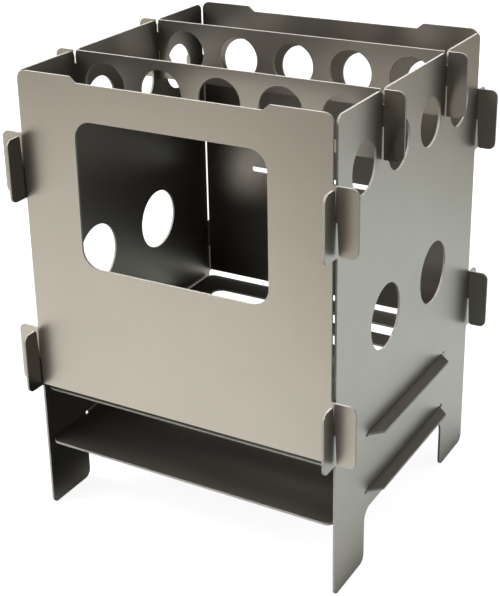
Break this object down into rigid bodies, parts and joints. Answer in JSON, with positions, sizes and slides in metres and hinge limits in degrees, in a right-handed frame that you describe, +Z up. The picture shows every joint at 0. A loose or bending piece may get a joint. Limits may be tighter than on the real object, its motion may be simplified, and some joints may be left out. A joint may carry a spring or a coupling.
{
  "type": "portable fire pit",
  "caption": "Flat-pack portable fire pit of satin titanium sheets that plug together into a square firebox on legs, with a feed window, air holes, grate, ash tray and pot supports.",
  "frame": {"origin": "on the ground, at the middle of the footprint", "axes": "+X to the right along the front, +Y to the back, +Z up"},
  "size_m": [0.1326, 0.1326, 0.1681],
  "materials": {
    "sheet": "bead-blasted satin titanium, laser-cut bright edges"
  },
  "bodies": {
    "stand": {"left_side_panel": "sheet", "right_side_panel": "sheet", "fire_grate": "sheet", "ash_tray": "sheet"},
    "front_panel": {"front_panel": "sheet"},
    "back_panel": {"back_panel": "sheet"},
    "front_pot_support": {"front_pot_support": "sheet"},
    "rear_pot_support": {"rear_pot_support": "sheet"}
  },
  "joints": [
    {"name": "front_panel_lift", "type": "slide", "parent": "stand", "child": "front_panel", "axis": [0, 0, 1], "range_m": [0, 0.014]},
    {"name": "back_panel_lift", "type": "slide", "parent": "stand", "child": "back_panel", "axis": [0, 0, 1], "range_m": [0, 0.014]},
    {"name": "front_pot_support_lift", "type": "slide", "parent": "stand", "child": "front_pot_support", "axis": [0, 0, 1], "range_m": [0, 0.014]},
    {"name": "rear_pot_support_lift", "type": "slide", "parent": "stand", "child": "rear_pot_support", "axis": [0, 0, 1], "range_m": [0, 0.014]}
  ]
}
